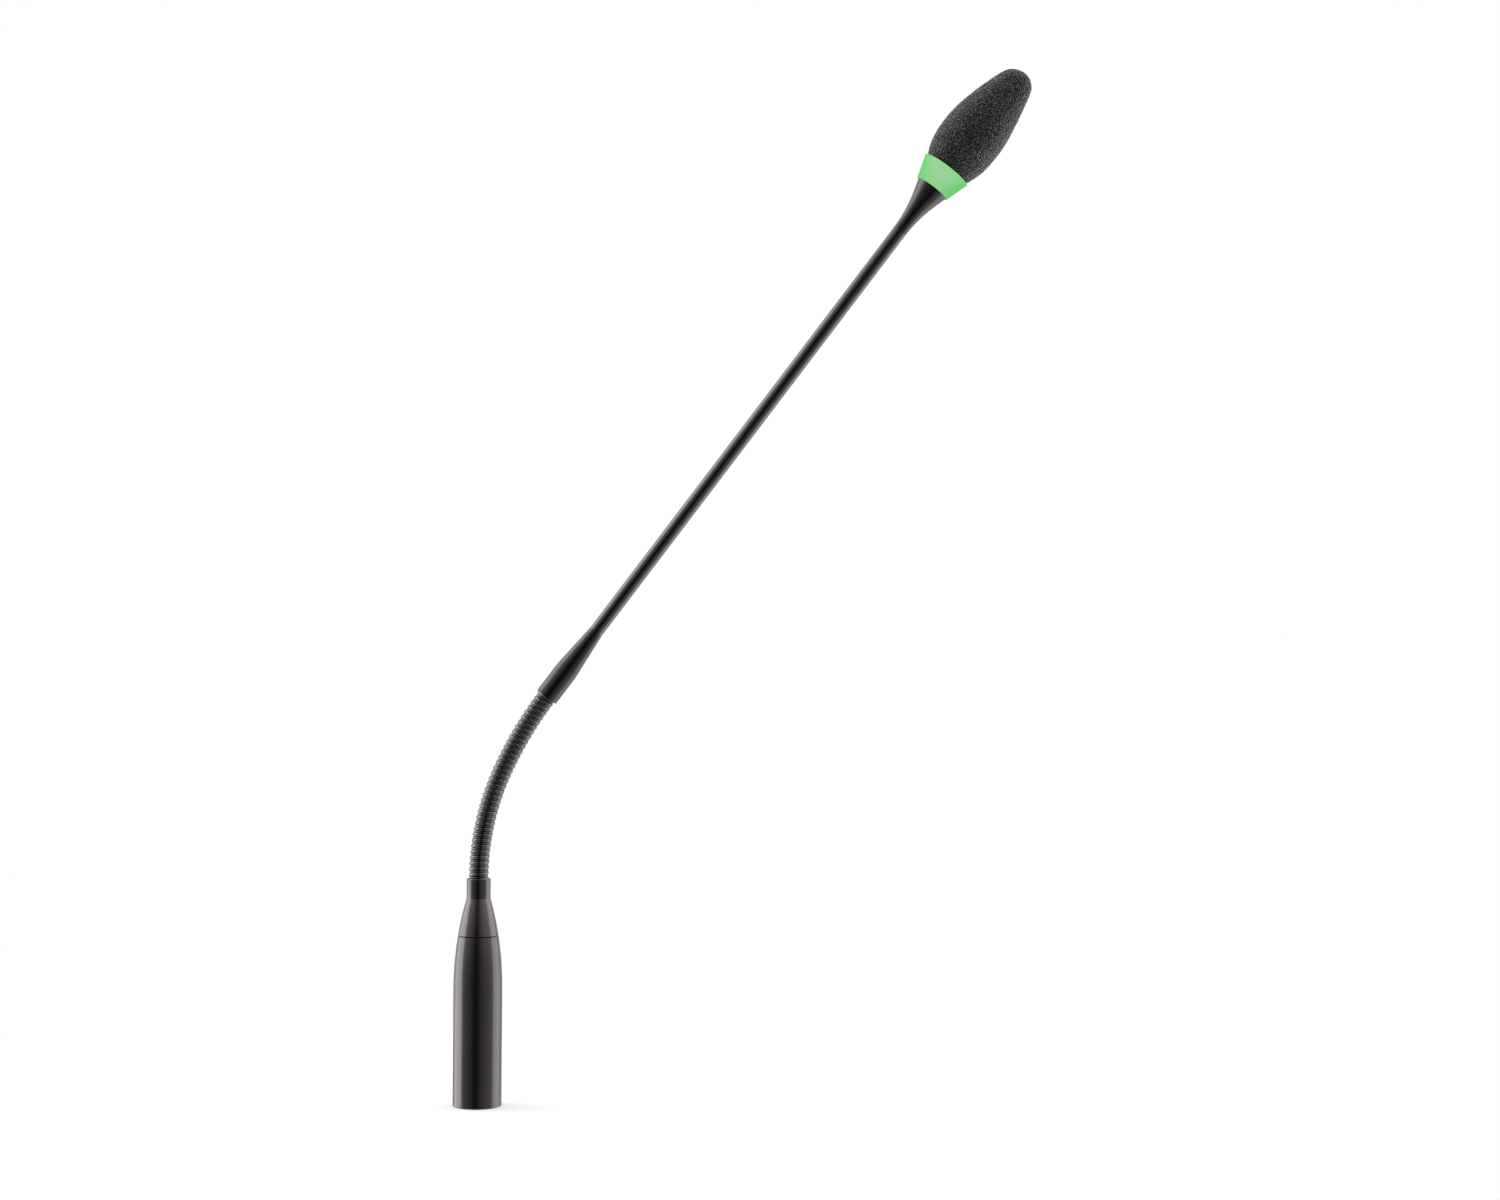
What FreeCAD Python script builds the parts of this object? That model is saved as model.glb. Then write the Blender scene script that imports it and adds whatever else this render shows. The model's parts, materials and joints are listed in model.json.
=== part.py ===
"""Gooseneck podium microphone: plug barrel, coiled gooseneck, stem, light ring, capsule and windscreen.

Millimetres. The origin is the centre of the plug shell's bottom rim, +Z runs up the barrel, and the
neck leans toward +X in the XZ plane. Every driving size is a cell of the spreadsheet, and every
sub-part is an object whose sizes are bound to those cells.
"""
import FreeCAD, Part

import math
import os
from types import SimpleNamespace

import Sketcher

from FreeCAD import Placement, Rotation, Vector

doc = FreeCAD.newDocument("Microphone")

SIZES = {
    # plug shell, and the hollow that the desk socket's female insert enters
    "shell_diameter": 19.0,
    "shell_straight": 44.9,
    "shell_ogive": 20.9,
    "seam_diameter": 15.8,
    "seam_bevel": 0.2,
    "rim_bevel": 0.4,
    "cavity_diameter": 16.0,
    "cavity_depth": 16.0,
    "shell_bore": 14.4,
    "key_width": 2.2,
    "key_rise": 1.0,
    "key_length": 6.0,
    "latch_width": 5.0,
    "latch_length": 3.4,
    "latch_height": 3.6,
    # contact insert, its five pins, and the screw that holds it
    "insert_length": 7.5,
    "insert_clearance": 0.05,
    "pin_diameter": 2.0,
    "pin_circle": 9.1,
    "pin_count": 5,
    "pin_step": 60.0,
    "pin_recess": 1.8,
    "pin_nose": 0.6,
    "pin_tail": 4.5,
    "pin_clearance": 0.02,
    "cup_bore": 1.2,
    "cup_depth": 2.5,
    "screw_diameter": 2.5,
    "screw_bite": 1.0,
    "screw_inset": 0.15,
    "screw_socket": 1.3,
    "screw_socket_depth": 1.1,
    "screw_clearance": 0.05,
    # preamplifier board and what is soldered to it
    "board_width": 11.6,
    "board_length": 28.0,
    "board_thickness": 1.0,
    "board_slot_depth": 1.5,
    "board_clearance": 0.05,
    "chip_width": 3.9,
    "chip_length": 4.9,
    "chip_thickness": 1.5,
    "chip_height": 11.0,
    "capacitor_diameter": 4.0,
    "capacitor_thickness": 4.6,
    "capacitor_height": 19.0,
    "capacitor_spacing": 5.4,
    "resistor_width": 1.25,
    "resistor_length": 2.0,
    "resistor_thickness": 0.5,
    "resistor_spacing": 2.6,
    "resistor_height": 13.0,
    "resistor_count": 4,
    "lead_diameter": 0.6,
    "lead_rise": 2.0,
    # cone that closes the barrel and holds the foot of the gooseneck
    "spigot_diameter": 12.4,
    "spigot_length": 9.0,
    "spigot_clearance": 0.05,
    "cone_height": 14.4,
    "cone_arc_radius": 122.0,
    "collar_diameter": 9.35,
    "collar_height": 7.8,
    "collar_bevel": 0.25,
    "socket_depth": 9.0,
    "socket_clearance": 0.05,
    "cable_bore": 4.0,
    # gooseneck: a round spring wire with a filler wire in its groove, cut into links at the hinges
    "coil_radius": 3.1,
    "coil_pitch": 2.21,
    "wire_diameter": 1.6,
    "filler_radius": 3.62,
    "filler_side": 0.56,
    "filler_gap": 0.06,
    "coil_end_clearance": 0.05,
    "link_gap": 0.3,
    "hinge_count": 28,
    "lower_bend_length": 43.6,
    "lower_bend": 24.5,
    "upper_bend_length": 33.1,
    "upper_bend": 12.5,
    "cable_diameter": 3.0,
    # sleeve, tube and flare of the straight stem
    "sleeve_diameter": 9.1,
    "sleeve_straight": 12.4,
    "sleeve_taper": 19.4,
    "sleeve_shoulder": 1.5,
    "sleeve_bevel": 0.2,
    "tube_diameter": 5.6,
    "tube_wall": 0.5,
    "tube_length": 195.0,
    "tube_spigot_length": 8.0,
    "tube_spigot_clearance": 0.05,
    "flare_turn": 16.5,
    "flare_radius": 54.0,
    "flare_cone": 5.25,
    "flare_lip": 0.55,
    "flare_lip_clearance": 0.05,
    "stud_diameter": 6.0,
    "stud_length": 4.5,
    "stud_clearance": 0.05,
    # light ring and its lamps
    "ring_bottom_diameter": 14.3,
    "ring_top_diameter": 20.1,
    "ring_height": 9.1,
    "ring_wall": 0.75,
    "ring_floor": 1.0,
    "led_board_diameter": 12.6,
    "led_board_thickness": 0.8,
    "led_count": 8,
    "led_radius": 5.3,
    "led_width": 1.6,
    "led_depth": 1.2,
    "led_height": 0.7,
    # capsule housing, what it holds, and the grille that closes it
    "housing_diameter": 12.4,
    "housing_length": 28.2,
    "housing_neck_diameter": 8.4,
    "housing_neck_length": 2.4,
    "housing_taper": 2.2,
    "housing_wall": 0.65,
    "housing_floor": 2.8,
    "stud_end_gap": 0.3,
    "vent_count": 8,
    "vent_width": 1.4,
    "vent_length": 5.0,
    "vent_height": 20.5,
    "capsule_diameter": 9.8,
    "capsule_length": 7.0,
    "capsule_wall": 0.35,
    "capsule_clearance": 0.05,
    "capsule_hole": 1.2,
    "capsule_hole_circle": 4.2,
    "capsule_hole_count": 6,
    "capsule_inset": 0.4,
    "capsule_board_thickness": 0.8,
    "backplate_thickness": 0.8,
    "diaphragm_ring_height": 0.9,
    "diaphragm_ring_width": 0.6,
    "diaphragm_film": 0.12,
    "holder_wall": 0.6,
    "boot_lip": 0.6,
    "boot_lip_width": 1.3,
    "boot_length": 8.0,
    "grille_thickness": 1.2,
    "grille_spigot_length": 1.9,
    "grille_spigot_wall": 0.9,
    "grille_clearance": 0.05,
    "grille_hole": 1.3,
    "grille_inner_circle": 4.2,
    "grille_outer_circle": 8.0,
    "grille_inner_count": 6,
    "grille_outer_count": 12,
    # foam windscreen, measured up from the ring's top edge
    "windscreen_clearance": 0.3,
    "windscreen_skirt": 4.6,
    "windscreen_mouth_diameter": 17.9,
    "windscreen_shoulder_diameter": 24.0,
    "windscreen_shoulder_height": 8.85,
    "windscreen_diameter": 24.85,
    "windscreen_widest_height": 15.5,
    "windscreen_waist_diameter": 21.7,
    "windscreen_waist_height": 28.75,
    "windscreen_cap_diameter": 14.1,
    "windscreen_cap_height": 43.3,
    "windscreen_height": 48.6,
    "windscreen_skirt_arc": 25.7,
    "windscreen_side_arc": 143.5,
}


# ---------------------------------------------------------------- sizes that keep their formula

class Size:
    """A number together with the spreadsheet formula that gives it."""

    def __init__(self, value, formula):
        self.value = float(value)
        self.formula = formula


def sized(number):
    return number if isinstance(number, Size) else Size(number, repr(float(number)))


def joined(sign, work):
    """An arithmetic operator that joins the values of two sizes and their formulas."""

    def operator(one, other):
        one, other = sized(one), sized(other)
        return Size(work(one.value, other.value), f"({one.formula} {sign} {other.formula})")

    return operator


Size.__add__ = joined("+", lambda one, other: one + other)
Size.__sub__ = joined("-", lambda one, other: one - other)
Size.__mul__ = joined("*", lambda one, other: one * other)
Size.__truediv__ = joined("/", lambda one, other: one / other)
Size.__radd__ = lambda one, other: sized(other) + one
Size.__rsub__ = lambda one, other: sized(other) - one
Size.__rmul__ = lambda one, other: sized(other) * one
Size.__neg__ = lambda one: sized(0) - one


def sine(angle):
    return Size(math.sin(math.radians(angle.value)), f"sin({angle.formula})")


def cosine(angle):
    return Size(math.cos(math.radians(angle.value)), f"cos({angle.formula})")


def tangent(angle):
    return Size(math.tan(math.radians(angle.value)), f"tan({angle.formula})")


def root(area):
    return Size(math.sqrt(area.value), f"sqrt({area.formula})")


def spreadsheet():
    """Write every driving size into a cell with an alias, and return the sizes by name."""
    sheet = doc.addObject("Spreadsheet::Sheet", "Sizes")
    for row, (name, number) in enumerate(SIZES.items(), start=1):
        sheet.set(f"A{row}", name.replace("_", " "))
        sheet.set(f"B{row}", str(number))
        sheet.setAlias(f"B{row}", name)
    doc.recompute()
    return SimpleNamespace(**{name: Size(number, f"Sizes.{name}") for name, number in SIZES.items()})


size = spreadsheet()
ZERO = Size(0, "0")
KEY_BEARING = 90  # degrees round from +X: the polarising key stands on +Y, and pins are counted from it


def bind(item, **formulas):
    """Bind properties to sizes; a double underscore in a name stands for the dot of a sub-property."""
    for name, wanted in formulas.items():
        item.setExpression(name.replace("__", "."), sized(wanted).formula)


# ---------------------------------------------------------------- heights along the object

seam_height = size.shell_straight + size.shell_ogive
collar_bottom = seam_height + size.cone_height
neck_start = collar_bottom + size.collar_height
insert_top = size.cavity_depth + size.insert_length
board_bottom = insert_top - size.board_slot_depth
board_top = board_bottom + size.board_length

# heights up the stem, from the sleeve's mouth
sleeve_top = size.sleeve_straight + size.sleeve_taper
tube_top = sleeve_top + size.tube_length
flare_rise = size.flare_radius * sine(size.flare_turn)
head = tube_top + flare_rise + size.flare_cone
ring_top = head + size.ring_height
led_board_bottom = head + size.ring_floor
housing_bottom = led_board_bottom + size.led_board_thickness
housing_top = housing_bottom + size.housing_length
stud_top = led_board_bottom + size.stud_length
cup_floor = stud_top + size.stud_end_gap + size.housing_floor
grille_top = housing_top + size.grille_thickness
boot_top = housing_top - size.grille_spigot_length
boot_bottom = boot_top - size.boot_length
capsule_bottom = boot_bottom + size.boot_lip
capsule_board_bottom = capsule_bottom + size.capsule_inset
capsule_top = capsule_bottom + size.capsule_length

# radii that pieces share
insert_radius = size.cavity_diameter / 2 - size.insert_clearance
coil_outside = size.coil_radius + size.wire_diameter / 2
socket_radius = coil_outside + size.socket_clearance
cable_hole = size.cable_bore / 2
spigot_hole = (size.cable_diameter + size.tube_wall) / 2
tube_radius = size.tube_diameter / 2
tube_spigot = tube_radius - size.tube_wall - size.tube_spigot_clearance
flare_end = tube_radius + size.flare_radius * (1 - cosine(size.flare_turn))
flare_rim = flare_end + size.flare_cone * tangent(size.flare_turn)
housing_bore = size.housing_diameter / 2 - size.housing_wall
boot_radius = housing_bore - size.capsule_clearance
capsule_inside = size.capsule_diameter / 2 - size.capsule_wall - size.capsule_clearance
ring_slope = (size.ring_top_diameter - size.ring_bottom_diameter) / 2 / size.ring_height


# ---------------------------------------------------------------- the neck's line

lower_bend_radius = size.lower_bend_length * (180 / math.pi) / size.lower_bend
upper_bend_radius = size.upper_bend_length * (180 / math.pi) / size.upper_bend
neck_length = size.lower_bend_length + size.upper_bend_length
lean = size.lower_bend + size.upper_bend
bend_x = lower_bend_radius * (1 - cosine(size.lower_bend))
bend_z = neck_start + lower_bend_radius * sine(size.lower_bend)
stem_x = bend_x + upper_bend_radius * (cosine(size.lower_bend) - cosine(lean))
stem_z = bend_z + upper_bend_radius * (sine(lean) - sine(size.lower_bend))


def neck_point(run):
    """The point of the neck's centreline at this length above the collar."""
    lower = min(max(run, 0.0), size.lower_bend_length.value)
    upper = min(max(run - size.lower_bend_length.value, 0.0), size.upper_bend_length.value)
    turned = math.radians(size.lower_bend.value) * lower / size.lower_bend_length.value
    leant = turned + math.radians(size.upper_bend.value) * upper / size.upper_bend_length.value
    below = min(run, 0.0)
    beyond = max(run - neck_length.value, 0.0)
    across = lower_bend_radius.value * (1 - math.cos(turned))
    across += upper_bend_radius.value * (math.cos(turned) - math.cos(leant))
    up = lower_bend_radius.value * math.sin(turned)
    up += upper_bend_radius.value * (math.sin(leant) - math.sin(turned))
    return Vector(
        across + beyond * math.sin(leant),
        0,
        neck_start.value + below + up + beyond * math.cos(leant),
    )


def on_stem(item):
    """Stand an object that was built up +Z on the stem's axis."""
    item.Placement = Placement(Vector(0, 0, 0), Rotation(Vector(0, 1, 0), 1))
    bind(item, Placement__Base__x=stem_x, Placement__Base__z=stem_z, Placement__Rotation__Angle=lean)
    return item


# ---------------------------------------------------------------- sketches and features

parts = []


def keep(item, name):
    """Name a finished sub-part."""
    item.Label = name
    parts.append(item)
    return item


def new_body(name):
    return keep(doc.addObject("PartDesign::Body", name.title().replace("_", "")), name)


def plane(body, role):
    return next(item for item in body.Origin.OriginFeatures if item.Role == role)


def new_sketch(body, name, role, offset=None):
    """A sketch on one of the body's origin planes, raised along the plane's normal by offset."""
    sketch = body.newObject("Sketcher::SketchObject", name)
    sketch.AttachmentSupport = [(plane(body, role), "")]
    sketch.MapMode = "FlatFace"
    if offset is not None:
        bind(sketch, AttachmentOffset__Base__z=offset)
        sketch.AttachmentOffset = Placement(Vector(0, 0, offset.value), Rotation())
    return sketch


def pin_point(sketch, curve, end, across, up):
    """Hold one end of a curve at a distance across and up from the sketch's origin."""
    for kind, axis, wanted in (("DistanceX", -2, across), ("DistanceY", -1, up)):
        if wanted is ZERO:
            sketch.addConstraint(Sketcher.Constraint("PointOnObject", curve, end, axis))
            continue
        index = sketch.addConstraint(Sketcher.Constraint(kind, -1, 1, curve, end, wanted.value))
        sketch.setExpression(f"Constraints[{index}]", wanted.formula)


def arc_between(start, end, radius, side):
    """An arc from start to end that bulges to the left (side 1) or right (side -1) of the way there."""
    chord = end - start
    left = Vector(-chord.y, chord.x, 0).normalize()
    drop = math.sqrt(max(radius**2 - (chord.Length / 2) ** 2, 0.0))
    centre = (start + end) * 0.5 - left * drop * side
    first, last = (end, start) if side > 0 else (start, end)
    angles = [math.atan2(point.y - centre.y, point.x - centre.x) for point in (first, last)]
    if angles[1] < angles[0]:
        angles[1] += 2 * math.pi
    return Part.ArcOfCircle(Part.Circle(centre, Vector(0, 0, 1), radius), *angles)


def outline(sketch, corners, closed=True):
    """Join corners in order. A corner is (across, up), or (across, up, radius, side) after an arc."""
    points = [Vector(corner[0].value, corner[1].value, 0) for corner in corners]
    steps = list(range(len(corners) if closed else len(corners) - 1))
    ends = []
    for step in steps:
        goal = (step + 1) % len(corners)
        if len(corners[goal]) > 2:
            radius, side = corners[goal][2:]
            curve = sketch.addGeometry(arc_between(points[step], points[goal], radius.value, side))
            index = sketch.addConstraint(Sketcher.Constraint("Radius", curve, radius.value))
            sketch.setExpression(f"Constraints[{index}]", radius.formula)
            ends.append((curve, 2, 1) if side > 0 else (curve, 1, 2))
        else:
            curve = sketch.addGeometry(Part.LineSegment(points[step], points[goal]))
            ends.append((curve, 1, 2))
    for step in steps:
        curve, start, end = ends[step]
        pin_point(sketch, curve, start, *corners[step][:2])
        following = step + 1 if step + 1 < len(ends) else 0
        if closed or step + 1 < len(ends):
            after = ends[following]
            sketch.addConstraint(Sketcher.Constraint("Coincident", curve, end, after[0], after[1]))
        else:
            pin_point(sketch, curve, end, *corners[-1][:2])


def circle(sketch, across, up, radius):
    curve = sketch.addGeometry(
        Part.Circle(Vector(across.value, up.value, 0), Vector(0, 0, 1), radius.value)
    )
    pin_point(sketch, curve, 3, across, up)
    index = sketch.addConstraint(Sketcher.Constraint("Radius", curve, radius.value))
    sketch.setExpression(f"Constraints[{index}]", radius.formula)


def rectangle(sketch, left, right, low, high):
    outline(sketch, [(left, low), (right, low), (right, high), (left, high)])


def revolve(body, corners, name="Outline"):
    """Turn an outline of (radius, height) corners about the body's Z axis."""
    sketch = new_sketch(body, f"{body.Name}{name}", "XZ_Plane")
    outline(sketch, corners)
    turn = body.newObject("PartDesign::Revolution", f"{body.Name}Turn")
    turn.Profile = sketch
    turn.ReferenceAxis = (sketch, ["V_Axis"])
    turn.Angle = 360
    body.Tip = turn
    return turn


def pad(body, sketch, length, name):
    raised = body.newObject("PartDesign::Pad", f"{body.Name}{name}")
    raised.Profile = sketch
    bind(raised, Length=length)
    body.Tip = raised
    return raised


def pocket(body, sketch, length, name, upward=False, both_ways=False):
    """Cut a sketch out of the body, and make sure that something was cut."""
    doc.recompute()
    before = body.Shape.Volume
    cut = body.newObject("PartDesign::Pocket", f"{body.Name}{name}")
    cut.Profile = sketch
    cut.Reversed = upward
    cut.Midplane = both_ways
    bind(cut, Length=length)
    body.Tip = cut
    doc.recompute()
    if not body.Shape.Volume < before:
        raise ValueError(f"{cut.Name} cuts nothing")
    return cut


def around(body, feature, count, angle=None):
    """Repeat a feature about the body's Z axis, over the whole turn or over an angle."""
    pattern = body.newObject("PartDesign::PolarPattern", f"{feature.Name}Pattern")
    pattern.Originals = [feature]
    pattern.Axis = (plane(body, "Z_Axis"), [""])
    pattern.Angle = 360
    bind(pattern, Occurrences=count)
    if angle is not None:
        bind(pattern, Angle=angle)
    body.Tip = pattern
    doc.recompute()
    return pattern


def soften(body, kind, amount, radius, height):
    """Fillet or chamfer the round edge that lies at this radius and height."""
    doc.recompute()
    base = body.Tip
    names = []
    for number, edge in enumerate(base.Shape.Edges, start=1):
        curve = edge.Curve
        is_round = isinstance(curve, Part.Circle) and abs(curve.Radius - radius.value) < 1e-4
        if is_round and abs(curve.Center.z - height.value) < 1e-4:
            names.append(f"Edge{number}")
    if not names:
        raise ValueError(f"{body.Label} has no round edge at {radius.value}, {height.value}")
    dress = body.newObject(f"PartDesign::{kind}", f"{body.Name}{kind}{len(body.Group)}")
    dress.Base = (base, names)
    bind(dress, **{"Radius" if kind == "Fillet" else "Size": amount})
    body.Tip = dress
    return dress


def new_part(kind, name, **formulas):
    """A primitive or a boolean of the Part workbench, with its properties bound."""
    item = doc.addObject(kind, name)
    bind(item, **formulas)
    return item


def group(name, piece, places):
    """A sub-part of several identical solids: copies of one finished piece, each at its own place."""
    doc.recompute()
    copies = []
    for place in places:
        copy = piece.Shape.copy()
        copy.Placement = place * piece.Placement
        copies.append(copy)
    item = doc.addObject("Part::Feature", name.title().replace("_", ""))
    item.Shape = Part.makeCompound(copies)
    return keep(item, name)


def ring_of(count, radius, start=0.0, step=None):
    """Places spaced about the Z axis at a radius, over the whole turn unless a step is given."""
    step = 360 / count if step is None else step
    turns = [Rotation(Vector(0, 0, 1), start + step * number) for number in range(count)]
    return [Placement(turn.multVec(Vector(radius, 0, 0)), turn) for turn in turns]


# ---------------------------------------------------------------- plug barrel and its contents

def connector_shell():
    """The turned barrel: an open cavity below, the insert's seat, and a bore for the board above."""
    body = new_body("connector_shell")
    outside = size.shell_diameter / 2
    inside = size.cavity_diameter / 2
    bore = size.shell_bore / 2
    mouth = size.spigot_diameter / 2 + size.spigot_clearance
    mouth_floor = seam_height - size.spigot_length - size.spigot_clearance
    seam = size.seam_diameter / 2
    ogive_drop = outside - seam
    ogive_radius = (size.shell_ogive * size.shell_ogive / ogive_drop + ogive_drop) / 2
    revolve(body, [
        (inside, ZERO),
        (outside, ZERO),
        (outside, size.shell_straight),
        (seam, seam_height, ogive_radius, -1),
        (mouth, seam_height),
        (mouth, mouth_floor),
        (bore, mouth_floor - (bore - mouth)),
        (bore, insert_top),
        (inside, insert_top),
    ])
    soften(body, "Chamfer", size.rim_bevel, outside, ZERO)
    soften(body, "Chamfer", size.seam_bevel, seam, seam_height)

    # the polarising key on the cavity's back wall, sunk a little into the wall
    rib = new_sketch(body, "KeyOutline", "XY_Plane", size.cavity_depth - size.key_length)
    wall_middle = (inside + outside) / 2
    rectangle(rib, -size.key_width / 2, size.key_width / 2, inside - size.key_rise, wall_middle)
    pad(body, rib, size.key_length, "Key")

    # the window behind it that the socket's latch drops into
    window = new_sketch(body, "LatchOutline", "XZ_Plane")
    latch_top = size.latch_height + size.latch_length
    rectangle(window, -size.latch_width / 2, size.latch_width / 2, size.latch_height, latch_top)
    pocket(body, window, size.shell_diameter, "Latch")

    tapped = new_sketch(body, "ScrewHole", "XZ_Plane")
    hole_radius = size.screw_diameter / 2 + size.screw_clearance
    circle(tapped, ZERO, size.cavity_depth + size.insert_length / 2, hole_radius)
    pocket(body, tapped, size.shell_diameter, "Tapped")


def contact_insert():
    """The moulded disc that carries the pins, slotted above for the board."""
    body = new_body("contact_insert")
    revolve(body, [
        (ZERO, size.cavity_depth),
        (insert_radius, size.cavity_depth),
        (insert_radius, insert_top),
        (ZERO, insert_top),
    ])
    holes = new_sketch(body, "PinHole", "XY_Plane", insert_top)
    circle(holes, *pin_place(), size.pin_diameter / 2 + size.pin_clearance)
    hole = pocket(body, holes, size.insert_length, "Hole")
    around(body, hole, size.pin_count, size.pin_step * (size.pin_count - 1))

    slot = new_sketch(body, "BoardSlot", "XY_Plane", insert_top)
    half_width = size.board_width / 2 + size.board_clearance
    half_thickness = size.board_thickness / 2 + size.board_clearance
    rectangle(slot, -half_width, half_width, -half_thickness, half_thickness)
    pocket(body, slot, size.board_slot_depth, "Slot")

    # the dimple that the set screw's point enters
    dimple = new_sketch(body, "Dimple", "XZ_Plane", -insert_radius)
    hole_radius = size.screw_diameter / 2 + size.screw_clearance
    circle(dimple, ZERO, size.cavity_depth + size.insert_length / 2, hole_radius)
    pocket(body, dimple, size.screw_bite + size.screw_clearance, "DimpleCut", upward=True)


def pin_place():
    """Where the first pin stands: one step round from the key, on the pin circle."""
    radius = size.pin_circle / 2
    return -radius * sine(size.pin_step), radius * cosine(size.pin_step)


def pin_places():
    """Where all the pins stand, from the first one on round the circle."""
    step = size.pin_step.value
    return ring_of(int(size.pin_count.value), size.pin_circle.value / 2, KEY_BEARING + step, step)


def contact_pins():
    """Five turned pins, each with a rounded nose below and a solder cup above."""
    pin = doc.addObject("PartDesign::Body", "Pin")
    radius = size.pin_diameter / 2
    top = insert_top + size.pin_tail
    cup_floor_height = top - size.cup_depth
    revolve(pin, [
        (ZERO, size.pin_recess),
        (radius, size.pin_recess),
        (radius, top),
        (size.cup_bore / 2, top),
        (size.cup_bore / 2, cup_floor_height),
        (ZERO, cup_floor_height),
    ])
    soften(pin, "Fillet", size.pin_nose, radius, size.pin_recess)
    group("contact_pins", pin, pin_places())


def insert_screw():
    """The socket set screw at the back of the barrel, through the shell into the insert."""
    body = new_body("insert_screw")
    radius = size.screw_diameter / 2
    point = insert_radius - size.screw_bite
    length = size.shell_diameter / 2 - size.screw_inset - point
    revolve(body, [(ZERO, ZERO), (radius, ZERO), (radius, length), (ZERO, length)])
    socket = new_sketch(body, "SocketOutline", "XY_Plane", length)
    across = size.screw_socket / 2
    half = across * tangent(Size(30, "30"))
    outline(socket, [
        (across, -half),
        (across, half),
        (ZERO, half * 2),
        (-across, half),
        (-across, -half),
        (ZERO, half * -2),
    ])
    pocket(body, socket, size.screw_socket_depth, "Socket")
    body.Placement = Placement(Vector(0, 1, 1), Rotation(Vector(1, 0, 0), -90))
    height = size.cavity_depth + size.insert_length / 2
    bind(body, Placement__Base__y=point, Placement__Base__z=height)


def preamp_board():
    board = new_part(
        "Part::Box",
        "PreampBoard",
        Length=size.board_width,
        Width=size.board_thickness,
        Height=size.board_length,
        Placement__Base__x=-size.board_width / 2,
        Placement__Base__y=-size.board_thickness / 2,
        Placement__Base__z=board_bottom,
    )
    keep(board, "preamp_board")


def preamp_chip():
    """The amplifier chip on the board's front face."""
    chip = new_part(
        "Part::Box",
        "PreampChip",
        Length=size.chip_width,
        Width=size.chip_thickness,
        Height=size.chip_length,
        Placement__Base__x=-size.chip_width / 2,
        Placement__Base__y=-size.board_thickness / 2 - size.chip_thickness,
        Placement__Base__z=board_bottom + size.chip_height,
    )
    keep(chip, "preamp_chip")


def coupling_capacitors():
    """Two electrolytic cans that lie end-on against the board's back face."""
    can = new_part(
        "Part::Cylinder", "Can", Radius=size.capacitor_diameter / 2, Height=size.capacitor_thickness
    )
    half = size.capacitor_spacing.value / 2
    face = size.board_thickness.value / 2
    height = (board_bottom + size.capacitor_height).value
    outward = Rotation(Vector(1, 0, 0), -90)
    group("coupling_capacitors", can, [Placement(Vector(x, face, height), outward) for x in (-half, half)])


def chip_resistors():
    """A row of chip resistors on the board's back face."""
    chip = new_part(
        "Part::Box",
        "Resistor",
        Length=size.resistor_width,
        Width=size.resistor_thickness,
        Height=size.resistor_length,
    )
    count = int(size.resistor_count.value)
    spacing = size.resistor_spacing.value
    first = -(count - 1) * spacing / 2 - size.resistor_width.value / 2
    face = size.board_thickness.value / 2
    height = (board_bottom + size.resistor_height).value
    corners = [Vector(first + spacing * number, face, height) for number in range(count)]
    group("chip_resistors", chip, [Placement(corner, Rotation()) for corner in corners])


def board_leads():
    """Short wires from each pin's solder cup up and over to the board's nearer face."""
    radius = size.lead_diameter.value / 2
    floor = (insert_top + size.pin_tail - size.cup_depth).value
    bend_height = (insert_top + size.pin_tail + size.lead_rise).value
    face = size.board_thickness.value / 2
    leads = []
    for place in pin_places():
        foot = place.Base
        side = 1 if foot.y > 0 else -1
        turn = abs(foot.y) - face - radius
        turn = min(turn, 2 * radius)
        start = Vector(foot.x, foot.y, floor)
        bend = Vector(foot.x, foot.y, bend_height - turn)
        middle = Vector(
            foot.x,
            foot.y - side * turn * (1 - math.cos(math.pi / 4)),
            bend.z + turn * math.sin(math.pi / 4),
        )
        over = Vector(foot.x, foot.y - side * turn, bend_height)
        end = Vector(foot.x, side * face, bend_height)
        path = Part.Wire([
            Part.LineSegment(start, bend).toShape(),
            Part.Arc(bend, middle, over).toShape(),
            Part.LineSegment(over, end).toShape(),
        ])
        section = Part.Wire([Part.Circle(start, Vector(0, 0, 1), radius).toShape()])
        leads.append(path.makePipeShell([section], True, False))
    item = doc.addObject("Part::Feature", "BoardLeads")
    item.Shape = Part.makeCompound(leads)
    keep(item, "board_leads")


def neck_cone():
    """The convex cone that screws into the barrel, and the collar that grips the coil's foot."""
    body = new_body("neck_cone")
    seam = size.seam_diameter / 2
    collar = size.collar_diameter / 2
    spigot = size.spigot_diameter / 2
    foot = seam_height - size.spigot_length
    socket_floor = neck_start - size.socket_depth
    revolve(body, [
        (cable_hole, foot),
        (spigot, foot),
        (spigot, seam_height),
        (seam, seam_height),
        (collar, collar_bottom, size.cone_arc_radius, -1),
        (collar, neck_start),
        (socket_radius, neck_start),
        (socket_radius, socket_floor),
        (cable_hole, socket_floor),
    ])
    soften(body, "Chamfer", size.seam_bevel, seam, seam_height)
    soften(body, "Chamfer", size.collar_bevel, collar, neck_start)


# ---------------------------------------------------------------- gooseneck

def hinge_run(number):
    """How far along the neck a hinge is: half a step in from each end, evenly spaced."""
    return (number + 0.5) * neck_length.value / size.hinge_count.value


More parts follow.
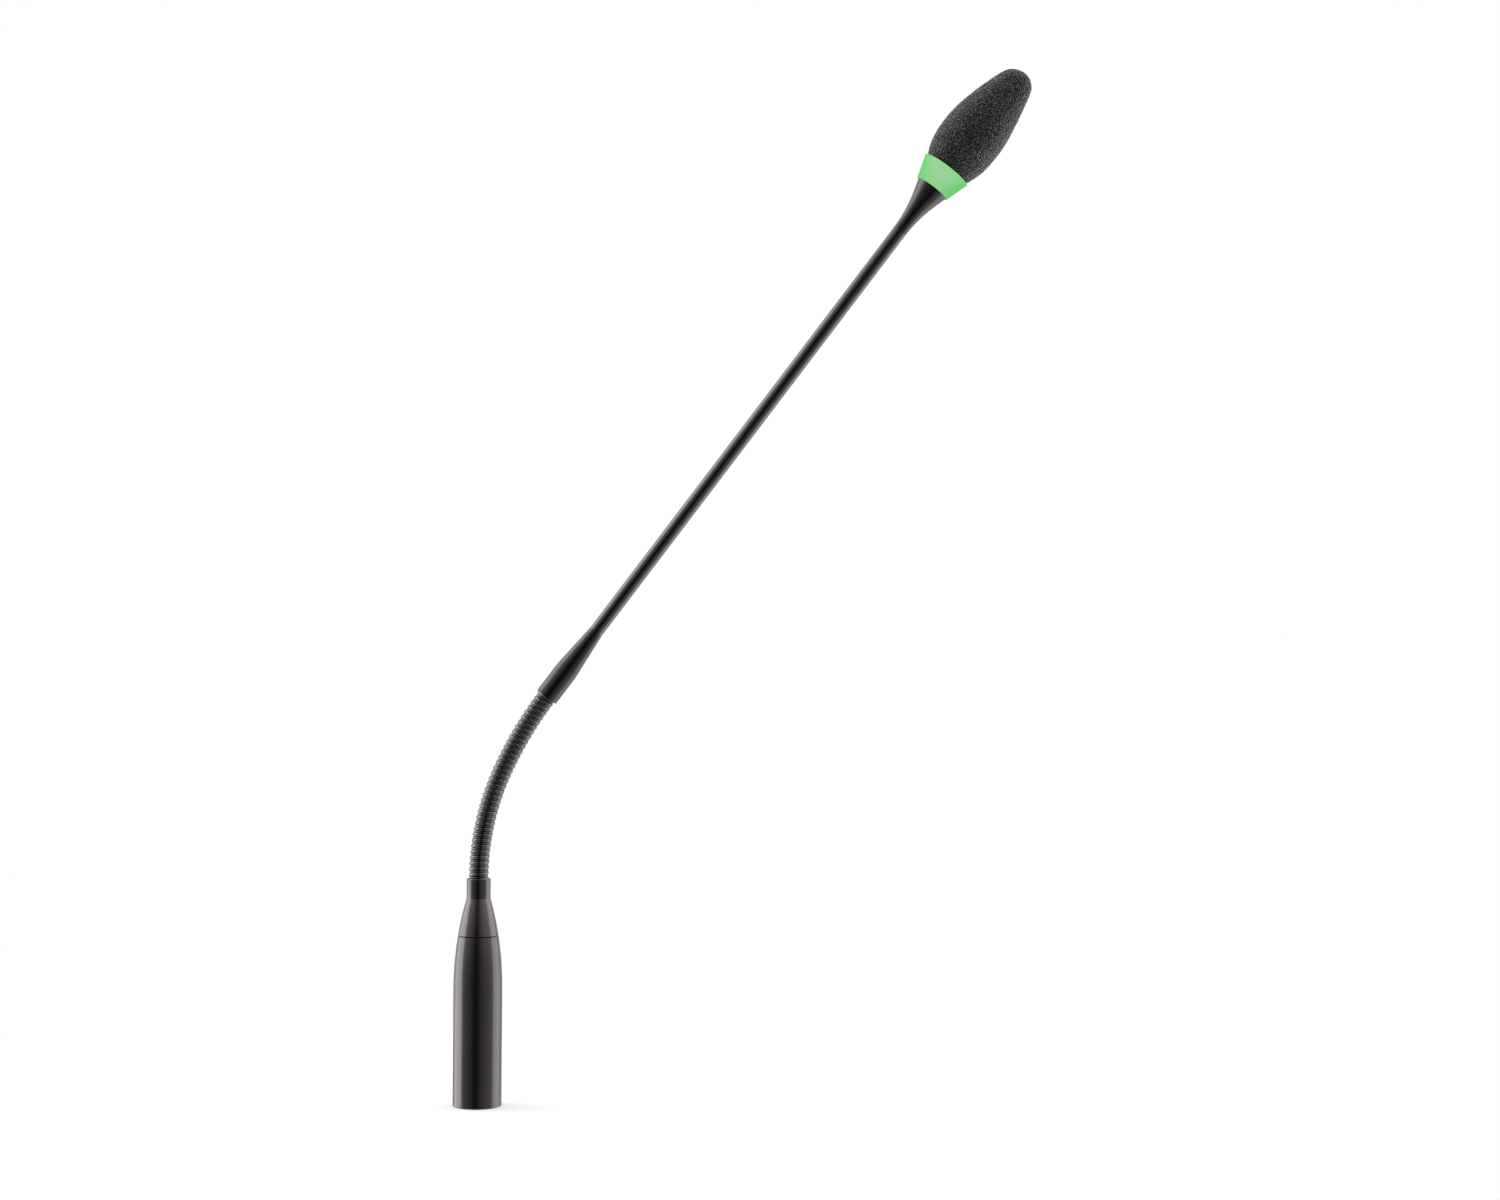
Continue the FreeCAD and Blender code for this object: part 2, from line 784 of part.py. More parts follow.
def neck_stretches():
    """The coil's stretches between hinges: (how far along it starts, start point, axis, length).

    The first stands in the collar, the last in the sleeve, and those between are chords of the
    neck's line, each a rigid link.
    """
    count = int(size.hinge_count.value)
    step = neck_length / size.hinge_count
    inset = size.wire_diameter / 2 + size.coil_end_clearance
    buried = size.socket_depth - inset
    end_length = buried + step / 2
    leaning = Rotation(Vector(0, 1, 0), lean.value).multVec(Vector(0, 0, 1))
    stretches = [(-buried.value, neck_point(-buried.value), Vector(0, 0, 1), end_length)]
    for number in range(count - 1):
        start, end = neck_point(hinge_run(number)), neck_point(hinge_run(number + 1))
        stretches.append((hinge_run(number), start, (end - start).normalize(), step))
    last_run = hinge_run(count - 1)
    last = neck_point(neck_length.value) - leaning * (neck_length.value - last_run)
    stretches.append((last_run, last, leaning, end_length))
    return stretches


def climb(radius, gap):
    """How far a wire at this radius climbs while it runs the length of a gap."""
    return gap * size.coil_pitch / (radius * math.tau)


def wound(name, stretch, radius, section, gap, cut_below, cut_above, lag=0.0):
    """Sweep a section up a helix about one stretch, with half a gap at each end that is cut.

    lag is how far up the neck the wire lies above the first wire, which sets it in the groove.
    """
    run, start, axis, length = stretch
    half_gap = climb(radius, gap) / 2
    height = length - half_gap * (int(cut_below) + int(cut_above))
    helix = new_part("Part::Helix", f"{name}Line", Radius=radius, Pitch=size.coil_pitch, Height=height)
    sweep = doc.addObject("Part::Sweep", name)
    sweep.Sections = [section]
    sweep.Spine = (helix, ["Edge1"])
    sweep.Solid = True
    sweep.Frenet = True
    lift = half_gap.value * int(cut_below)
    turned = 360 * (run + lift - lag) / size.coil_pitch.value
    upright = Rotation(Vector(0, 0, 1), axis)
    sweep.Placement = Placement(start + axis * lift, upright * Rotation(Vector(0, 0, 1), turned))
    return sweep


def facing_along(radius):
    """The turn that sets a flat section square to a helix of this radius, where the helix starts."""
    steepness = math.atan(size.coil_pitch.value / (math.tau * radius.value))
    return Rotation(Vector(1, 0, 0), math.degrees(steepness) - 90)


def neck_coil():
    """The round spring wire: a foot in the collar, a link between each two hinges, and a top end."""
    section = new_part("Part::Circle", "RoundWire", Radius=size.wire_diameter / 2)
    section.Placement = Placement(Vector(size.coil_radius.value, 0, 0), facing_along(size.coil_radius))
    bind(section, Placement__Base__x=size.coil_radius)
    stretches = neck_stretches()
    last = len(stretches) - 1
    names = ["neck_coil_foot"] + [f"neck_link_{number:02d}" for number in range(1, last)] + ["neck_coil_top"]
    for number, (name, stretch) in enumerate(zip(names, stretches)):
        wire_name = name.title().replace("_", "")
        cuts = number > 0, number < last
        keep(wound(wire_name, stretch, size.coil_radius, section, size.link_gap, *cuts), name)


def filler_wire():
    """The three-sided wire wound in the groove between the round wire's turns, apex inward."""
    corner = size.filler_side / Size(math.sqrt(3), "sqrt(3)")
    middle = size.filler_radius - corner / 2
    section = new_part("Part::RegularPolygon", "FillerSection", Circumradius=corner)
    section.Polygon = 3
    apex_inward = Rotation(Vector(0, 0, 1), 180)
    section.Placement = Placement(Vector(middle.value, 0, 0), facing_along(middle) * apex_inward)
    bind(section, Placement__Base__x=middle)
    stretches = neck_stretches()
    last = len(stretches) - 1
    half_pitch = size.coil_pitch.value / 2
    turns = []
    for number, stretch in enumerate(stretches):
        cuts = number > 0, number < last
        name = f"Filler{number:02d}"
        turns.append(wound(name, stretch, middle, section, size.filler_gap, *cuts, lag=half_pitch))
    doc.recompute()
    item = doc.addObject("Part::Compound", "FillerWire")
    item.Links = turns
    keep(item, "filler_wire")


# ---------------------------------------------------------------- signal cable

def straight_cable(name, low, high):
    """A straight run of the cable between two heights."""
    return keep(
        new_part(
            "Part::Cylinder",
            name.title().replace("_", ""),
            Radius=size.cable_diameter / 2,
            Height=high - low,
            Placement__Base__z=low,
        ),
        name,
    )


def neck_cable():
    """The cable's bent run: two tangent arcs along the neck's line."""
    body = new_body("signal_cable_neck")
    path = new_sketch(body, "CablePath", "XZ_Plane")
    outline(path, [
        (ZERO, neck_start),
        (bend_x, bend_z, lower_bend_radius, 1),
        (stem_x, stem_z, upper_bend_radius, 1),
    ], closed=False)
    section = new_sketch(body, "CableSection", "XY_Plane", neck_start)
    circle(section, ZERO, ZERO, size.cable_diameter / 2)
    pipe = body.newObject("PartDesign::AdditivePipe", "CablePipe")
    pipe.Profile = section
    pipe.Spine = (path, [])
    body.Tip = pipe


def stem_cable():
    """The cable's last run, up the stem to the capsule's board."""
    cable = new_part(
        "Part::Cylinder",
        "SignalCableStem",
        Radius=size.cable_diameter / 2,
        Height=capsule_board_bottom,
    )
    keep(on_stem(cable), "signal_cable_stem")


# ---------------------------------------------------------------- stem

def stem_sleeve():
    """The sleeve that grips the coil's top end, tapered to the tube, with a spigot inside the tube."""
    body = on_stem(new_body("stem_sleeve"))
    outside = size.sleeve_diameter / 2
    spigot_top = sleeve_top + size.tube_spigot_length
    narrowing = outside - tube_radius
    slant = root(narrowing * narrowing + size.sleeve_taper * size.sleeve_taper)
    shoulder = size.sleeve_shoulder
    shoulder_arc = shoulder * narrowing / (slant - size.sleeve_taper)
    revolve(body, [
        (socket_radius, ZERO),
        (outside, ZERO),
        (outside, size.sleeve_straight - shoulder),
        (
            outside - shoulder * narrowing / slant,
            size.sleeve_straight + shoulder * size.sleeve_taper / slant,
            shoulder_arc,
            -1,
        ),
        (tube_radius, sleeve_top),
        (tube_spigot, sleeve_top),
        (tube_spigot, spigot_top),
        (spigot_hole, spigot_top),
        (spigot_hole, size.socket_depth),
        (socket_radius, size.socket_depth),
    ])
    soften(body, "Chamfer", size.sleeve_bevel, outside, ZERO)


def stem_tube():
    body = on_stem(new_body("stem_tube"))
    inside = tube_radius - size.tube_wall
    revolve(body, [
        (inside, sleeve_top),
        (tube_radius, sleeve_top),
        (tube_radius, tube_top),
        (inside, tube_top),
    ])


def head_flare():
    """The trumpet between tube and ring, with a spigot below and the housing's stud above."""
    body = on_stem(new_body("head_flare"))
    lip = flare_rim - size.flare_lip
    lip_top = head + size.ring_floor
    stud = size.stud_diameter / 2
    foot = tube_top - size.tube_spigot_length
    revolve(body, [
        (spigot_hole, foot),
        (tube_spigot, foot),
        (tube_spigot, tube_top),
        (tube_radius, tube_top),
        (flare_end, tube_top + flare_rise, size.flare_radius, 1),
        (flare_rim, head),
        (lip, head),
        (lip, lip_top),
        (stud, lip_top),
        (stud, stud_top),
        (spigot_hole, stud_top),
    ])


# ---------------------------------------------------------------- light ring

def light_ring():
    """The translucent conical cup: its floor sits round the flare's lip, its wall holds the foam."""
    body = on_stem(new_body("light_ring"))
    bottom = size.ring_bottom_diameter / 2
    top = size.ring_top_diameter / 2
    floor_hole = flare_rim - size.flare_lip + size.flare_lip_clearance
    floor_top = head + size.ring_floor
    floor_radius = bottom + ring_slope * size.ring_floor - size.ring_wall
    revolve(body, [
        (floor_hole, head),
        (bottom, head),
        (top, ring_top),
        (top - size.ring_wall, ring_top),
        (floor_radius, floor_top),
        (floor_hole, floor_top),
    ])


def led_board():
    body = on_stem(new_body("led_board"))
    inside = size.stud_diameter / 2 + size.stud_clearance
    outside = size.led_board_diameter / 2
    revolve(body, [
        (inside, led_board_bottom),
        (outside, led_board_bottom),
        (outside, housing_bottom),
        (inside, housing_bottom),
    ])


def ring_leds():
    """Chip lamps spaced round the lamp board, under the housing's shoulder."""
    lamp = new_part(
        "Part::Box",
        "Lamp",
        Length=size.led_depth,
        Width=size.led_width,
        Height=size.led_height,
        Placement__Base__x=-size.led_depth / 2,
        Placement__Base__y=-size.led_width / 2,
        Placement__Base__z=housing_bottom,
    )
    on_stem(group("ring_leds", lamp, ring_of(int(size.led_count.value), size.led_radius.value)))


# ---------------------------------------------------------------- capsule

def capsule_housing():
    """The vented tube that screws onto the stud, clamps the lamp board and holds the capsule."""
    body = on_stem(new_body("capsule_housing"))
    outside = size.housing_diameter / 2
    neck = size.housing_neck_diameter / 2
    thread = size.stud_diameter / 2 + size.stud_clearance
    shoulder = housing_bottom + size.housing_neck_length
    thread_top = stud_top + size.stud_end_gap
    revolve(body, [
        (thread, housing_bottom),
        (neck, housing_bottom),
        (neck, shoulder),
        (outside, shoulder + size.housing_taper),
        (outside, housing_top),
        (housing_bore, housing_top),
        (housing_bore, cup_floor),
        (spigot_hole, cup_floor),
        (spigot_hole, thread_top),
        (thread, thread_top),
    ])
    slot = new_sketch(body, "VentOutline", "XZ_Plane")
    low = housing_bottom + size.vent_height
    rectangle(slot, -size.vent_width / 2, size.vent_width / 2, low, low + size.vent_length)
    vent = pocket(body, slot, size.housing_diameter, "Vent")
    around(body, vent, size.vent_count)


def capsule_boot():
    """The rubber sleeve round the capsule, with a lip under its back edge."""
    body = on_stem(new_body("capsule_boot"))
    inside = size.capsule_diameter / 2 + size.capsule_clearance
    lip = boot_radius - size.boot_lip_width
    revolve(body, [
        (lip, boot_bottom),
        (boot_radius, boot_bottom),
        (boot_radius, boot_top),
        (inside, boot_top),
        (inside, capsule_bottom),
        (lip, capsule_bottom),
    ])


def capsule_can():
    """The capsule's aluminium can, open behind, with sound holes in its front."""
    body = on_stem(new_body("capsule_can"))
    outside = size.capsule_diameter / 2
    inside = outside - size.capsule_wall
    front = capsule_top - size.capsule_wall
    revolve(body, [
        (inside, capsule_bottom),
        (outside, capsule_bottom),
        (outside, capsule_top),
        (ZERO, capsule_top),
        (ZERO, front),
        (inside, front),
    ])
    sound = new_sketch(body, "SoundHole", "XY_Plane", capsule_top)
    circle(sound, size.capsule_hole_circle / 2, ZERO, size.capsule_hole / 2)
    hole = pocket(body, sound, size.capsule_wall * 2, "Sound")
    around(body, hole, size.capsule_hole_count)


def capsule_board():
    """The round board with the capsule's transistor, which closes the can from behind."""
    body = on_stem(new_body("capsule_board"))
    top = capsule_board_bottom + size.capsule_board_thickness
    revolve(body, [
        (ZERO, capsule_board_bottom),
        (capsule_inside, capsule_board_bottom),
        (capsule_inside, top),
        (ZERO, top),
    ])


def diaphragm_bottom():
    return capsule_top - size.capsule_wall - size.capsule_clearance - size.diaphragm_ring_height


def backplate():
    """The charged plate behind the diaphragm."""
    body = on_stem(new_body("backplate"))
    top = diaphragm_bottom()
    bottom = top - size.backplate_thickness
    revolve(body, [(ZERO, bottom), (capsule_inside, bottom), (capsule_inside, top), (ZERO, top)])


def backplate_holder():
    """The insulating tube that stands on the board and carries the backplate."""
    body = on_stem(new_body("backplate_holder"))
    inside = capsule_inside - size.holder_wall
    bottom = capsule_board_bottom + size.capsule_board_thickness
    top = diaphragm_bottom() - size.backplate_thickness
    revolve(body, [(inside, bottom), (capsule_inside, bottom), (capsule_inside, top), (inside, top)])


def diaphragm():
    """The thin film, with the ring that stretches it."""
    body = on_stem(new_body("diaphragm"))
    inside = capsule_inside - size.diaphragm_ring_width
    bottom = diaphragm_bottom()
    top = bottom + size.diaphragm_ring_height
    film = bottom + (size.diaphragm_ring_height - size.diaphragm_film) / 2
    revolve(body, [
        (ZERO, film),
        (inside, film),
        (inside, bottom),
        (capsule_inside, bottom),
        (capsule_inside, top),
        (inside, top),
        (inside, film + size.diaphragm_film),
        (ZERO, film + size.diaphragm_film),
    ])


def front_grille():
    """The perforated cap that closes the housing and holds the capsule down."""
    body = on_stem(new_body("front_grille"))
    outside = size.housing_diameter / 2
    spigot = housing_bore - size.grille_clearance
    inside = spigot - size.grille_spigot_wall
    foot = boot_top + size.grille_clearance
    revolve(body, [
        (spigot, foot),
        (spigot, housing_top),
        (outside, housing_top),
        (outside, grille_top),
        (ZERO, grille_top),
        (ZERO, housing_top),
        (inside, housing_top),
        (inside, foot),
    ])
    rows = {
        "Centre": (ZERO, None),
        "Inner": (size.grille_inner_circle / 2, size.grille_inner_count),
        "Outer": (size.grille_outer_circle / 2, size.grille_outer_count),
    }
    for row, (radius, count) in rows.items():
        sketch = new_sketch(body, f"{row}Hole", "XY_Plane", grille_top)
        circle(sketch, radius, ZERO, size.grille_hole / 2)
        hole = pocket(body, sketch, size.grille_thickness, f"{row}Row")
        if count is not None:
            around(body, hole, count)


# ---------------------------------------------------------------- windscreen

def windscreen():
    """The foam: a skirt that fits the ring's cup, a full middle, a rounded tip, and a deep hollow."""
    body = on_stem(new_body("windscreen"))
    gap = size.windscreen_clearance
    skirt = ring_top - size.windscreen_skirt
    ring_inside = size.ring_top_diameter / 2 - size.ring_wall
    mouth = size.windscreen_mouth_diameter / 2
    skirt_radius = ring_inside - ring_slope * size.windscreen_skirt - gap
    hollow = size.housing_diameter / 2 + gap
    hollow_top = grille_top + gap
    shoulder = size.windscreen_shoulder_diameter / 2
    widest = size.windscreen_diameter / 2
    waist = size.windscreen_waist_diameter / 2
    cap = size.windscreen_cap_diameter / 2
    shoulder_up = size.windscreen_shoulder_height
    widest_up = size.windscreen_widest_height
    waist_up = size.windscreen_waist_height
    cap_up = size.windscreen_cap_height
    tip_up = size.windscreen_height
    revolve(body, [
        (hollow, skirt),
        (skirt_radius, skirt),
        (mouth, ring_top),
        (shoulder, ring_top + shoulder_up, size.windscreen_skirt_arc, -1),
        (widest, ring_top + widest_up, upright_arc(widest - shoulder, widest_up - shoulder_up), -1),
        (waist, ring_top + waist_up, upright_arc(widest - waist, waist_up - widest_up), -1),
        (cap, ring_top + cap_up, size.windscreen_side_arc, -1),
        (ZERO, ring_top + tip_up, upright_arc(tip_up - cap_up, cap), -1),
        (ZERO, hollow_top),
        (hollow, hollow_top),
    ])


def upright_arc(drop, run):
    """The radius of an arc that leaves its tangent by drop over a length of run."""
    return (run * run / drop + drop) / 2


# ---------------------------------------------------------------- build, check, write

def build():
    connector_shell()
    contact_insert()
    contact_pins()
    insert_screw()
    preamp_board()
    preamp_chip()
    coupling_capacitors()
    chip_resistors()
    board_leads()
    neck_cone()
    neck_coil()
    filler_wire()
    straight_cable("signal_cable_base", board_top, neck_start)
    neck_cable()
    stem_cable()
    stem_sleeve()
    stem_tube()
    head_flare()
    light_ring()
    led_board()
    ring_leds()
    capsule_housing()
    capsule_boot()
    capsule_can()
    capsule_board()
    backplate_holder()
    backplate()
    diaphragm()
    front_grille()
    windscreen()
    doc.recompute()


def check():
    """Refuse a document with a failed object or a sub-part that is not a sound solid."""
    for item in doc.Objects:
        if "Invalid" in item.State or "Error" in item.State:
            raise ValueError(f"{item.Name} failed: {item.State}")
    for item in parts:
        shape = item.Shape
        if shape.isNull() or not shape.isValid() or not shape.Solids:
            raise ValueError(f"{item.Label} is not a sound solid")
        print(f"{item.Label:20} {len(shape.Solids):3} solids {shape.Volume:10.2f} mm3")
    bent = lower_bend_radius.value, upper_bend_radius.value
    print("neck radii %.1f and %.1f mm, exposed length %.1f mm" % (*bent, neck_length.value))


def write():
    os.makedirs("parts", exist_ok=True)
    for item in parts:
        item.Shape.exportStep(f"parts/{item.Label}.step")


build()
check()
write()
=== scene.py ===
# %% [markdown]
# # A gooseneck podium microphone
#
# A podium microphone is a machined plug barrel, a short flexible neck wound from spring
# wire, a thin stem and a foam ball over the capsule, with a lit ring under the foam. The
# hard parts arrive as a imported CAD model. This script dresses them: it gives each part its
# finish, winds the neck again as wire that bends smoothly, and makes the foam as foam.

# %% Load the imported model
import json
import math

import bpy
import numpy as np
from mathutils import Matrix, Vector, noise


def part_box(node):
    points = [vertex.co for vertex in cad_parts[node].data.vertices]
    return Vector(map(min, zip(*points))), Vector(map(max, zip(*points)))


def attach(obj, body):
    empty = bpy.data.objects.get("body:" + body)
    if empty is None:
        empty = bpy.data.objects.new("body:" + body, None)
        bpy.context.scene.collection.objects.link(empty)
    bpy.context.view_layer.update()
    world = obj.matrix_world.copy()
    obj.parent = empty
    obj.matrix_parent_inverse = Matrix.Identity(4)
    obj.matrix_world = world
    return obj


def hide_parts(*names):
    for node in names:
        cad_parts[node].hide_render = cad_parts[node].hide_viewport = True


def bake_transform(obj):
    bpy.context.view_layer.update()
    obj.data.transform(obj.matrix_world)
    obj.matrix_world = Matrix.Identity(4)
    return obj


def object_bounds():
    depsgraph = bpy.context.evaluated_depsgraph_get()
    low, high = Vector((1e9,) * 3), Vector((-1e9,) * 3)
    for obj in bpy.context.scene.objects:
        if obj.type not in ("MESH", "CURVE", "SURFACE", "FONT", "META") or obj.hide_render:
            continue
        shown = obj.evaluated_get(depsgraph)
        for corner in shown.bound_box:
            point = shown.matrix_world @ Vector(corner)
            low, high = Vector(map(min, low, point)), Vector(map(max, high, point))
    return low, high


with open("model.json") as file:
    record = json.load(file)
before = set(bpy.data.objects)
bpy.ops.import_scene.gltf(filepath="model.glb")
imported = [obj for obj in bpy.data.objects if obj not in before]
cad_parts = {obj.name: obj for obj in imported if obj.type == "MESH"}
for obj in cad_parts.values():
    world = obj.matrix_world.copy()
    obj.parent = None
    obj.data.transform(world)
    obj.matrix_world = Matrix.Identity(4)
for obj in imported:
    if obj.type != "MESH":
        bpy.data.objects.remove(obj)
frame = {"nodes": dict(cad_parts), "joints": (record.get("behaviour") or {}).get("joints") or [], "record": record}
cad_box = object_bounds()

MM = 0.001
scene = bpy.context.scene

# %% [markdown]
# ## The camera
#
# The camera stands nearly a metre in front of the microphone, at the height of its neck,
# and looks very slightly upward. It stands a little to the right and turns back to the left
# by three degrees and a half. At that distance a lens of 60 mm takes in the whole microphone
# and keeps the barrel's sides almost parallel.

# %% Stand the camera
TURN_LEFT, LOOK_UP, TILT = math.radians(3.38), math.radians(1.52), math.radians(-0.28)
camera_data = bpy.data.cameras.new("front_camera")
camera_data.lens = 59.75
camera_data.sensor_width = 36
camera = bpy.data.objects.new("front_camera", camera_data)
camera.location = (0.1621, -0.9626, 0.171)
camera.rotation_euler = (math.pi / 2 + LOOK_UP, TILT, TURN_LEFT)
scene.collection.objects.link(camera)
scene.camera = camera
print("the camera stands", round(camera.location.length, 3), "m from the plug's foot")

# %% [markdown]
# ## Helpers for every finish
#
# Colours are picked as sRGB hex values, the way a swatch book lists them, but Blender
# mixes light in linear values, so one function turns one into the other. Each finish is a
# small tree of nodes: one function starts an empty tree, and one adds a node with its
# settings and its links. Some sockets are given by their place, because several of a node's
# sockets share a name or because it is shorter: 6 and 7 are the two colours of a Mix node,
# 2 and 3 its two numbers, and 1 to 4 the range that a Map Range node reads and the range
# that it gives.

# %% Colour and node helpers
def linear(swatch):
    """A hex swatch such as "#1b1b1c" as Blender's linear colour."""
    shares = [int(swatch[place : place + 2], 16) / 255 for place in (1, 3, 5)]
    return (*(c / 12.92 if c <= 0.04045 else ((c + 0.055) / 1.055) ** 2.4 for c in shares), 1.0)


def add(tree, kind, sockets=None, **settings):
    """Add a node. A socket takes a plain value, or another node's output as a link."""
    made = tree.nodes.new("ShaderNode" + kind)
    for name, value in settings.items():
        setattr(made, name, value)
    for name, value in (sockets or {}).items():
        if isinstance(value, bpy.types.NodeSocket):
            tree.links.new(value, made.inputs[name])
        else:
            made.inputs[name].default_value = value
    return made


def new_finish(name):
    """An empty material, its node tree and its output node."""
    finish = bpy.data.materials.new(name)
    finish.use_nodes = True
    finish.node_tree.nodes.clear()
    return finish, finish.node_tree, add(finish.node_tree, "OutputMaterial")


print("a mid grey swatch is", round(linear("#808080")[0], 3), "in linear light")

# %% [markdown]
# ## One recipe for plain surfaces
#
# Most finishes here are one colour with a fine grain: the grain moves the colour a little,
# moves the gloss a little, and stands up as a very low relief. The recipe takes the grain's
# real size in millimetres and works out the pattern's scale from it. A second, broad noise
# stands for the slow drift of tone over a part. `stretch` draws the grain out along an axis,
# which is how turned or drawn metal differs from a cast skin.

# %% The grained surface
DRIFT = 14 * MM  # how far apart the paler and darker places of one part lie
NOISE_LOW, NOISE_HIGH = 0.3, 0.7  # nearly all of a noise's values lie between these


def grained(
    name, dark, light, roughness, grain, relief, metallic=0.0, stretch=(1, 1, 1), **sockets
):
    """A finish whose colour, gloss and relief follow a grain of this many millimetres."""
    finish, tree, output = new_finish(name)
    place = add(tree, "TexCoord").outputs["Object"]
    drawn = add(tree, "Mapping", {"Vector": place, "Scale": stretch}).outputs["Vector"]
    fine = add(tree, "TexNoise", {"Vector": drawn, "Scale": 1 / (grain * MM), "Detail": 3.0})
    broad = add(tree, "TexNoise", {"Vector": place, "Scale": 1 / DRIFT, "Detail": 2.0})
    both = add(tree, "Math", {0: fine.outputs["Fac"], 1: broad.outputs["Fac"]}, operation="ADD")
    share = add(tree, "Math", {0: both.outputs[0], 1: 0.5}, operation="MULTIPLY").outputs[0]
    colour = add(
        tree, "Mix", {0: share, 6: linear(dark), 7: linear(light)}, data_type="RGBA"
    ).outputs[2]
    low, high = roughness
    gloss = add(
        tree, "MapRange", {"Value": share, 1: NOISE_LOW, 2: NOISE_HIGH, 3: low, 4: high}
    ).outputs[0]
    bump = add(tree, "Bump", {"Height": fine.outputs["Fac"], "Distance": relief * MM})
    surface = add(
        tree, "BsdfPrincipled",
        {
            "Base Color": colour, "Roughness": gloss, "Metallic": metallic,
            "Normal": bump.outputs[0], **sockets,
        },
    )
    tree.links.new(surface.outputs[0], output.inputs["Surface"])
    return finish


FINISHES = {}
print("the recipe is ready")

# %% [markdown]
# ## Satin blackened brass
#
# The barrel, the neck's cone, the stem and the flare are turned brass, blasted satin and
# then blackened. The black skin is thin and still metal, so what it reflects is as strong
# straight on as at a glancing angle, only dark. Blasting leaves a grain of about a quarter
# of a millimetre, which softens the edges of the reflections. Three batches took the black
# differently: the barrel and cone came out a little warm, the drawn stem tube is neutral,
# and the sleeve and flare are a shade deeper. So each batch gets its own finish.

# %% The blackened metal
BLAST_GRAIN, BLAST_RELIEF = 0.28, 0.001  # mm
satin_black, deep_black, tube_black = (
    grained(name, dark, light, rough, BLAST_GRAIN, BLAST_RELIEF, metallic=1.0)
    for name, dark, light, rough in (
        ("satin_blackened_brass", "#524e4f", "#5a5657", (0.20, 0.27)),
        ("satin_deep_blackened_brass", "#3c3a3b", "#434142", (0.22, 0.29)),
        ("blackened_drawn_brass_tube", "#4a494a", "#525152", (0.20, 0.27)),
    )
)
FINISHES["black_satin_metal"] = satin_black
OTHER_BATCHES = {"stem_sleeve": deep_black, "head_flare": deep_black, "stem_tube": tube_black}
print(satin_black.name, "and other batches for", ", ".join(OTHER_BATCHES))

# %% [markdown]
# Where the barrel meets the cone, both edges have a fine bevel, and the two bevels make a narrow groove. The shade
# in that groove is painted: the finish darkens to near black within a bevel's width of the seam's height, with a
# soft edge, as a painted shadow line.

# %% Paint shade into the seam
BEVEL, SOFT_EDGE = 0.2 * MM, 0.04 * MM
seam_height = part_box("connector_shell")[1].z
tree = satin_black.node_tree
surface = tree.nodes["Principled BSDF"]
skin = surface.inputs["Base Color"].links[0].from_socket
place = add(tree, "TexCoord").outputs["Object"]
height_here = add(tree, "SeparateXYZ", {0: place}).outputs["Z"]
offset = add(tree, "Math", {0: height_here, 1: seam_height}, operation="SUBTRACT").outputs[0]
distance = add(tree, "Math", {0: offset}, operation="ABSOLUTE").outputs[0]
outside_seam_shade = add(
    tree, "MapRange", {"Value": distance, 1: BEVEL - SOFT_EDGE, 2: BEVEL + SOFT_EDGE}
).outputs[0]
# painted shade: near black in the seam's groove, the metal's own colour outside it
colour = add(
    tree, "Mix", {0: outside_seam_shade, 6: linear("#0b0b0c"), 7: skin}, data_type="RGBA"
).outputs[2]
tree.links.new(colour, surface.inputs["Base Color"])
print("the seam lies", round(seam_height / MM, 1), "mm up")

# %% [markdown]
# ## Blackened spring wire
#
# Both wires of the neck are drawn steel with a glossy black oxide. Drawing leaves them
# smoother than blasted brass, so each turn carries a sharp highlight. The fat round wire
# and the thin filler wire share the finish; what parts them is the black gap between them.

# %% The neck's wires
FINISHES["black_spring_steel"] = grained(
    "blackened_drawn_spring_wire", "#505052", "#5a5a5c", (0.07, 0.12),
    grain=0.2, relief=0.0005, metallic=1.0,
)
print(FINISHES["black_spring_steel"].name)

# %% [markdown]
# ## The metals inside
#
# Gold plating, tinned copper, turned brass and drawn aluminium are bare metals, so they are
# fully metallic and their colour is the colour of their reflection. The blackened screw and
# the black anodised housing are treated as metals too, because their dark skins are thin.
# The marks of turning run round the part, and the grain is drawn out flat to suit.

# %% Metals
TOOL_GRAIN, TOOL_RELIEF = 0.3, 0.001  # mm
ROUND_MARKS = (0.35, 0.35, 3.0)  # long round the part, and close together along it
for slot, name, dark, light, rough in (
    ("gold_contacts", "gold_plated_brass", "#c89b3c", "#e6bf66", (0.16, 0.26)),
    ("capsule_brass", "turned_brass", "#b8934a", "#d8b66c", (0.22, 0.36)),
    ("tinned_wire", "tinned_copper_wire", "#a9a9aa", "#c9c9ca", (0.25, 0.4)),
    ("capacitor_can", "drawn_aluminium_can", "#b4b5b8", "#d0d1d4", (0.25, 0.38)),
    ("capsule_aluminium", "satin_aluminium_can", "#aeb0b4", "#cdd0d4", (0.28, 0.42)),
    ("screw_steel", "blackened_steel_screw", "#3a3a3c", "#5a5a5c", (0.3, 0.42)),
    ("black_anodised", "black_anodised_aluminium", "#1c1c1e", "#2b2b2d", (0.3, 0.42)),
):
    FINISHES[slot] = grained(
        name, dark, light, rough, TOOL_GRAIN, TOOL_RELIEF, metallic=1.0, stretch=ROUND_MARKS
    )
print(len(FINISHES), "finishes so far")

# %% [markdown]
# ## The plastics, rubbers and painted parts inside
#
# Moulded parts keep the fine spark texture of the steel mould. Rubber is the roughest of
# them. The capsule's front grille is perforated steel with a black paint. The lamps under
# the ring have clear lenses that let their green light through.

